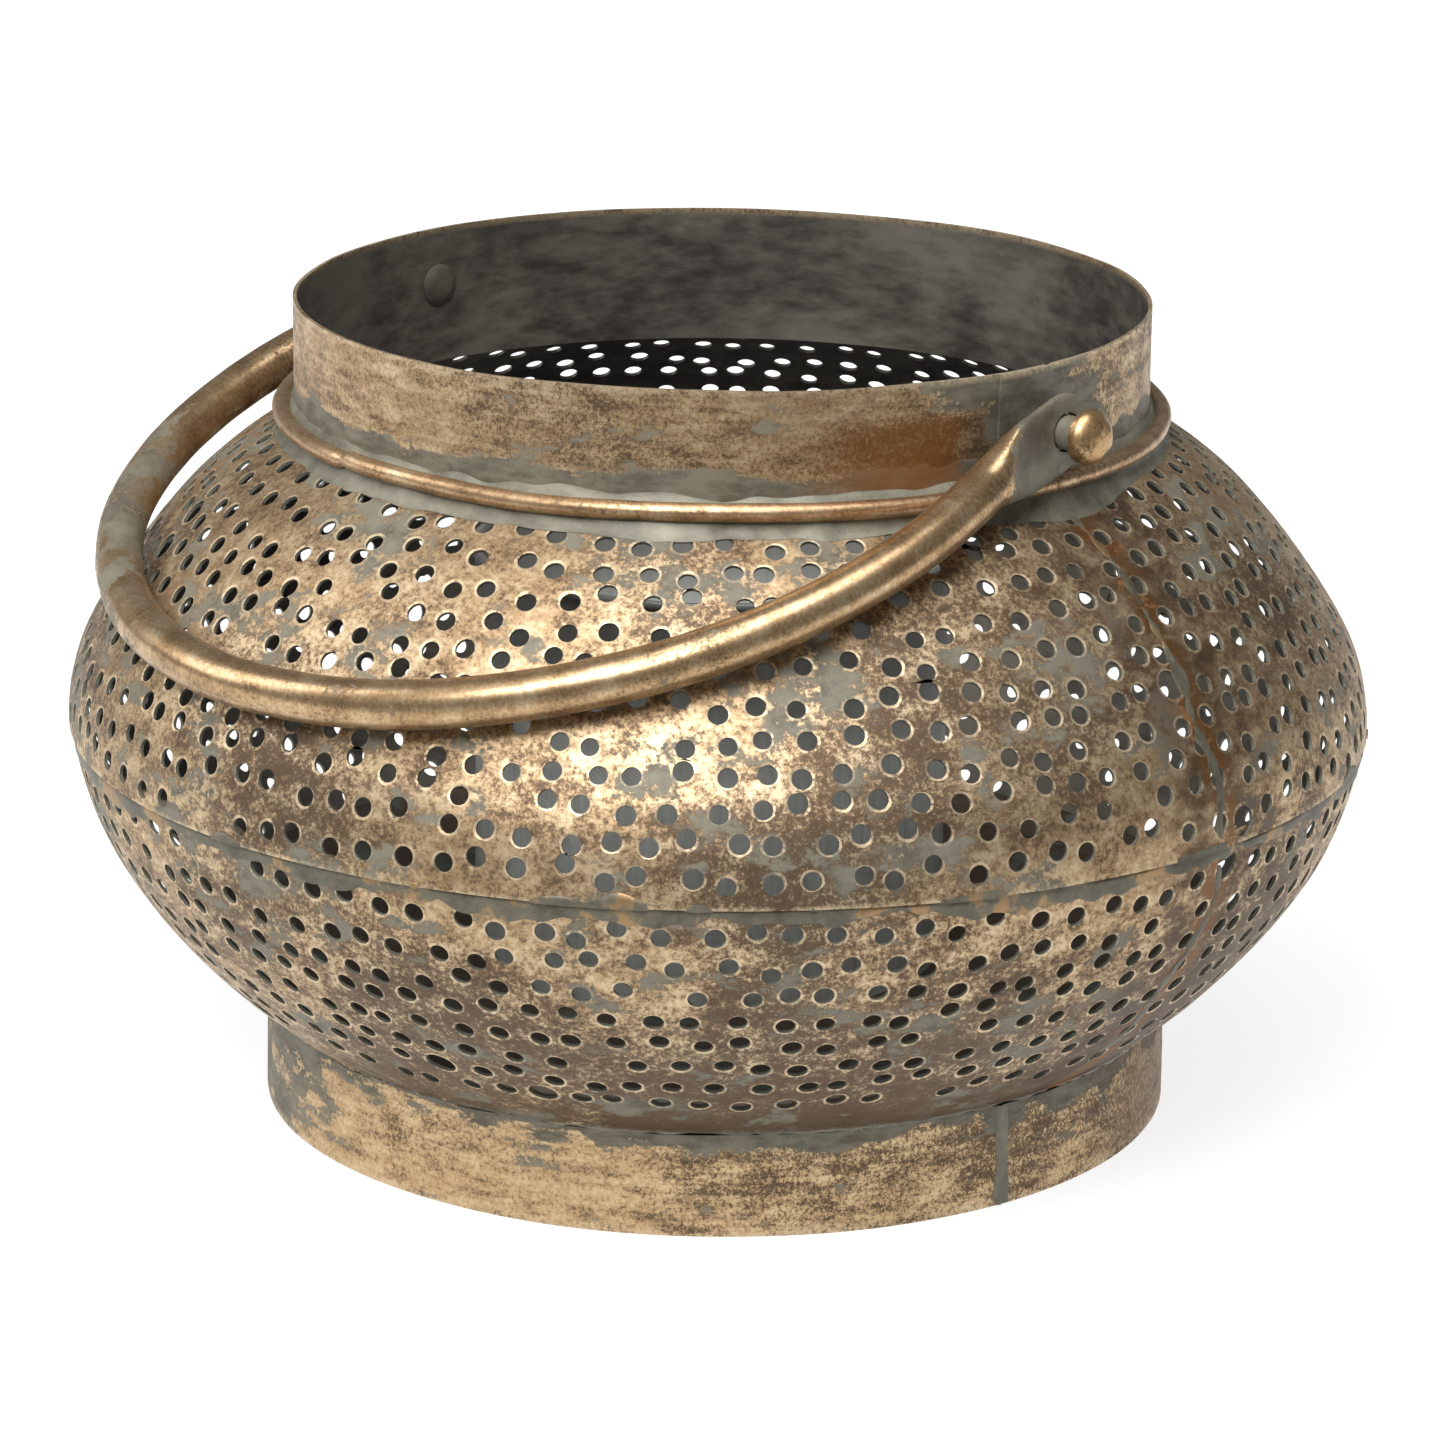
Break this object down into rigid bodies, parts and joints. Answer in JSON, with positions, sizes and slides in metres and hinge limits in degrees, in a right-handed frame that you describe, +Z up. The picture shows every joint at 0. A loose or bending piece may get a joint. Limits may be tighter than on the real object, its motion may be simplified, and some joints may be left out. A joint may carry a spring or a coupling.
{
  "type": "perforated metal lantern",
  "caption": "Round pierced-metal lantern: squat bulging body on a foot ring, plain open neck with a swinging bail handle, and a loose candle cup inside that lifts out.",
  "frame": {"origin": "centre of the foot ring's underside, on the surface the lantern stands on", "axes": "+Z up; the two bail pins lie along X; the bail rests on the shoulder towards -Y"},
  "size_m": [0.2803, 0.28, 0.1756],
  "materials": {
    "antique_brass_sheet": "worn antique gold over dark brown, with grey-green patina",
    "dark_inner_sheet": "dull dark brown",
    "patinated_solder": "dull grey-green",
    "antique_brass_wire": "worn antique gold",
    "antique_brass_pin": "worn antique gold",
    "antique_brass_tube": "worn antique gold, rubbed bright on top",
    "galvanised_sheet": "dull galvanised"
  },
  "bodies": {
    "lantern_body": {"foot_ring": "antique_brass_sheet", "foot_seam_solder": "patinated_solder", "foot_solder_bead": "patinated_solder", "floor_pan": "dark_inner_sheet", "lower_bowl": "antique_brass_sheet", "lower_seam_solder": "patinated_solder", "belly_solder_line": "patinated_solder", "upper_dome": "antique_brass_sheet", "upper_seam_solder": "patinated_solder", "neck_collar": "antique_brass_sheet", "neck_bead_ring": "antique_brass_wire", "neck_solder_fillet": "patinated_solder", "bail_pin_right": "antique_brass_pin", "bail_pin_left": "antique_brass_pin"},
    "bail": {"handle_bail": "antique_brass_tube"},
    "candle_cup": {"candle_cup_wall": "galvanised_sheet", "candle_cup_base": "galvanised_sheet", "candle_cup_rim": "galvanised_sheet"}
  },
  "joints": [
    {"name": "bail_swing", "type": "hinge", "parent": "lantern_body", "child": "bail", "pos_m": [0, 0, 0.163], "axis": [-1, 0, 0], "range_deg": [0, 218.8]},
    {"name": "cup_lift", "type": "slide", "parent": "lantern_body", "child": "candle_cup", "axis": [0, 0, 1], "range_m": [0, 0.155]}
  ]
}
